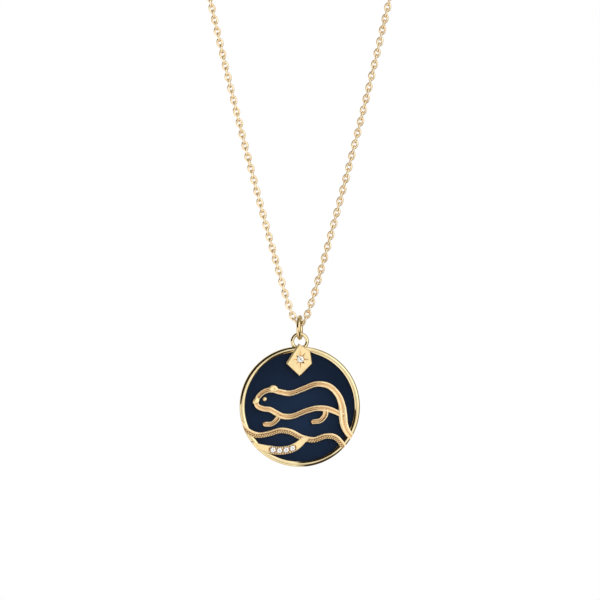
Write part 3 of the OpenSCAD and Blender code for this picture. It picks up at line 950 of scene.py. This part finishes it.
def chainTwist(s):
    # links lean a little to and fro; on the left the hidden stretch turns a quarter to meet its ring
    lean = sum(radians(most) * sin(s * rate + start) for most, rate, start in loop["leans"])
    lean *= shareOf((abs(s) - loop["leanFrom"]) / loop["leanOver"])
    lean *= shareOf((loop["leanUntil"] - abs(s)) / loop["leanFade"])
    t = shareOf((-s - loop["endTwistFrom"]) / loop["endTwistOver"])
    return lean + pi / 2 * t * t * (3 - 2 * t)


def linkShape(pitch):
    # points of one link as along, wide and lift, for each step round the link and each side of its wire
    halfLong = pitch / 2 + loop["wire"] / 2
    halfWide = (loop["linkWidth"] - loop["wire"]) / 2
    t = np.arange(loop["steps"]) * 2 * pi / loop["steps"]
    centre = np.stack([halfLong * np.cos(t), halfWide * np.sin(t)], axis=1)
    outward = np.stack([halfWide * np.cos(t), halfLong * np.sin(t)], axis=1)
    outward /= np.linalg.norm(outward, axis=1)[:, None]
    section = np.array(circleLoop((0, 0), loop["wire"] / 2, loop["sides"]))
    flat = centre[:, None, :] + outward[:, None, :] * section[None, :, :1]
    lift = np.broadcast_to(section[None, :, 1:], (*flat.shape[:2], 1))
    return np.concatenate([flat, lift], axis=2)


def buildChain():
    pitch = linkPitch()
    shape = linkShape(pitch)
    faces = np.array(gridFaces(loop["steps"], loop["sides"], True, True))
    allVerts, allFaces = [], []
    for i in range(-loop["linksEachSide"], loop["linksEachSide"] + 1):
        # the links at the foot have slipped a little to the right; the two ends are fixed
        s = i * pitch + loop["slip"] * (1 - abs(i) / loop["linksEachSide"])
        x, z, slope = chainPoint(s)
        way = 1 if i >= 0 else -1
        along = np.array([sin(slope), 0, cos(slope)]) * way
        side = np.array([cos(slope), 0, -sin(slope)]) * way
        twist = (pi / 2 if i % 2 else 0) + chainTwist(s)
        wide = side * cos(twist) + np.array([0, 1, 0]) * sin(twist)
        axes = np.array([along, wide, np.cross(along, wide)])
        verts = np.array([x, 0, discZ + loop["apexUp"] + z]) + shape @ axes
        allFaces.append(faces + len(allVerts) * loop["steps"] * loop["sides"])
        allVerts.append(verts.reshape(-1, 3) * mm)
    piece = makePiece("chain_links", np.concatenate(allVerts), np.concatenate(allFaces).tolist(), "necklace",
                      ["chainGold"])
    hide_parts("chain")
    print("chain of", len(allVerts), "links, pitch", round(pitch, 4), "mm")


clasp = {"bodyR": 2.25, "bodyWire": 0.5, "bodySteps": 96, "bodySides": 28, "eyeR": 0.7, "eyeWire": 0.2,
         "eyeSteps": 56, "endR": 1.2, "endWire": 0.2, "endSteps": 72, "thinSides": 16}


def buildFastening():
    x, y, z = Vector((1, 0, 0)), Vector((0, 1, 0)), Vector((0, 0, 1))
    low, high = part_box("clasp")
    height = (low.z + high.z) / 2 / mm
    bodyX = low.x / mm + clasp["bodyR"] + clasp["bodyWire"]
    eyeX = high.x / mm - clasp["eyeR"] - clasp["eyeWire"]
    parts = Parts()
    parts.add(*ringShape(Vector((bodyX, 0, height)), x, y, clasp["bodyR"], clasp["bodyWire"],
                         clasp["bodySteps"], clasp["bodySides"]))
    parts.add(*ringShape(Vector((eyeX, 0, height)), x, y, clasp["eyeR"], clasp["eyeWire"],
                         clasp["eyeSteps"], clasp["thinSides"]))
    piece = makePiece("clasp_body", parts.verts, parts.faces, "necklace", ["polishedGold"])
    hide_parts("clasp")
    low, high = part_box("end_ring")
    verts, faces = ringShape((low + high) / 2 / mm, x, z, clasp["endR"], clasp["endWire"],
                             clasp["endSteps"], clasp["thinSides"])
    piece = makePiece("end_loop", verts, faces, "necklace", ["polishedGold"])
    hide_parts("end_ring")


buildJumpRing()
buildChain()
buildFastening()


# Studio: a pale floor, a bright room with a few dark cards in it, soft lights, and a long lens

studio = {
    "room": (1.0, 0.99, 0.97, 1.0), "strength": 1.5, "seen": (1.0, 1.0, 1.0, 1.0),
    # cards on the room's wall, as spans of angles in degrees with soft edges: polar is off the camera's
    # direction, turn is round the picture, side is to the right, lift is upwards
    "cards": [((0.66, 0.62, 0.54), {"polar": (78, 200, 20)}),
              ((0.3, 0.28, 0.2), {"polar": (68, 200, 16), "turn": (-40, 76, 20)}),
              ((0.04, 0.037, 0.035), {"polar": (-7, 3.5, 2)}),
              ((0.48, 0.42, 0.32), {"polar": (18, 46, 8), "turn": (178, 264, 12)}),
              ((0.05, 0.035, 0.02), {"side": (3.5, 100, 4), "lift": (-100, -32, 6)}),
              ((0.05, 0.035, 0.02), {"polar": (21, 60, 6), "turn": (268, 303, 8)}),
              ((0.02, 0.014, 0.008), {"polar": (26, 102, 8), "turn": (88, 116, 8)}),
              ((0.02, 0.014, 0.008), {"side": (-100, -6, 4), "lift": (1.2, 100, 2),
                                      "polar": (-10, 102, 12)})],
    # soft lights: place from the disc's centre in metres, size and power
    "lights": {"softRight": ((0.55, -0.6, 0.35), 0.8, 0.8), "softLeft": ((-0.45, -0.6, -0.4), 0.6, 0.3)},
    "floorR": 1.0, "floorDrop": 170.0, "floorSides": 96, "floorColour": (0.93, 0.94, 0.96, 1.0),
    "floorRough": 0.7, "sensor": 36.0, "frameHalf": 49.83, "cameraFar": 1200.0, "frameX": 0.05,
    "frameUp": 17.706, "clip": (0.01, 20.0),
}


def buildFloor():
    z = (discZ + studio["frameUp"] - studio["floorDrop"]) * mm
    verts = [(x, y, z) for x, y in circleLoop((0, 0), studio["floorR"], studio["floorSides"])]
    mesh = bpy.data.meshes.new("floor")
    mesh.from_pydata(verts, [], [tuple(range(len(verts)))])
    paint = bpy.data.materials.new("floorPaint")
    addSurface(nodeTree(paint), {"Base Color": studio["floorColour"], "Roughness": studio["floorRough"]})
    mesh.materials.append(paint)
    floor = bpy.data.objects.new("floor", mesh)
    bpy.context.scene.collection.objects.link(floor)
    floor.visible_glossy = False  # the gold mirrors the room alone


def insideSpan(tree, angle, span):
    # 1 between the two ends of a span in degrees, 0 past its soft edges; the angle is in radians
    low, high, soft = (radians(v) for v in span)
    off = calc(tree, "WRAP", calc(tree, "SUBTRACT", angle, (low + high) / 2), pi, -pi)
    away = calc(tree, "ABSOLUTE", off, 0.0)
    half = (high - low) / 2
    share = addNode(tree, "ShaderNodeMapRange", {
        "Value": away, "From Min": half + soft / 2, "From Max": half - soft / 2},
        interpolation_type="SMOOTHSTEP")
    return share.outputs["Result"]


def buildRoom():
    # the camera sees plain white behind the piece, and everything else the room with its cards
    world = bpy.data.worlds.new("studioRoom")
    bpy.context.scene.world = world
    tree = nodeTree(world)
    where = addNode(tree, "ShaderNodeTexCoord")
    unit = addNode(tree, "ShaderNodeVectorMath", {0: where.outputs["Generated"]}, operation="NORMALIZE")
    axes = addNode(tree, "ShaderNodeSeparateXYZ", {0: unit.outputs["Vector"]})
    x, y, z = (axes.outputs[k] for k in range(3))
    angles = {"polar": calc(tree, "ARCCOSINE", calc(tree, "MULTIPLY", y, -1.0), 0.0),
              "turn": calc(tree, "ARCTAN2", z, x),
              "side": calc(tree, "ARCSINE", x, 0.0),
              "lift": calc(tree, "ARCSINE", z, 0.0)}
    colour = studio["room"]
    for tone, spans in studio["cards"]:
        share = 1.0
        for kind, span in spans.items():
            share = calc(tree, "MULTIPLY", insideSpan(tree, angles[kind], span), share)
        mix = addNode(tree, "ShaderNodeMix", {0: share, 6: colour, 7: (*tone, 1.0)}, data_type="RGBA")
        colour = mix.outputs[2]
    room = addNode(tree, "ShaderNodeBackground", {"Color": colour, "Strength": studio["strength"]})
    plain = addNode(tree, "ShaderNodeBackground", {"Color": studio["seen"], "Strength": 1.0})
    light = addNode(tree, "ShaderNodeLightPath")
    both = addNode(tree, "ShaderNodeMixShader", {
        0: light.outputs["Is Camera Ray"], 1: room.outputs[0], 2: plain.outputs[0]})
    addNode(tree, "ShaderNodeOutputWorld", {"Surface": both.outputs[0]})


def addSoftLight(name, place, size, power):
    data = bpy.data.lights.new(name, "AREA")
    data.shape = "DISK"
    data.size = size
    data.energy = power
    lamp = bpy.data.objects.new(name, data)
    target = Vector((0, 0, discZ * mm))
    lamp.location = target + Vector(place)
    lamp.rotation_euler = (target - lamp.location).to_track_quat("-Z", "Y").to_euler()
    bpy.context.scene.collection.objects.link(lamp)


def buildCamera():
    data = bpy.data.cameras.new("camera")
    data.sensor_width = studio["sensor"]
    data.lens = studio["sensor"] / 2 * studio["cameraFar"] / studio["frameHalf"]
    data.clip_start, data.clip_end = studio["clip"]
    camera = bpy.data.objects.new("camera", data)
    camera.location = (studio["frameX"] * mm, -studio["cameraFar"] * mm, (discZ + studio["frameUp"]) * mm)
    camera.rotation_euler = (pi / 2, 0, 0)
    bpy.context.scene.collection.objects.link(camera)
    bpy.context.scene.camera = camera


buildFloor()
buildRoom()
for name, (place, size, power) in studio["lights"].items():
    addSoftLight(name, place, size, power)
buildCamera()
bpy.context.scene.view_settings.view_transform = "Standard"
bpy.context.scene.view_settings.look = "None"
print("studio built")
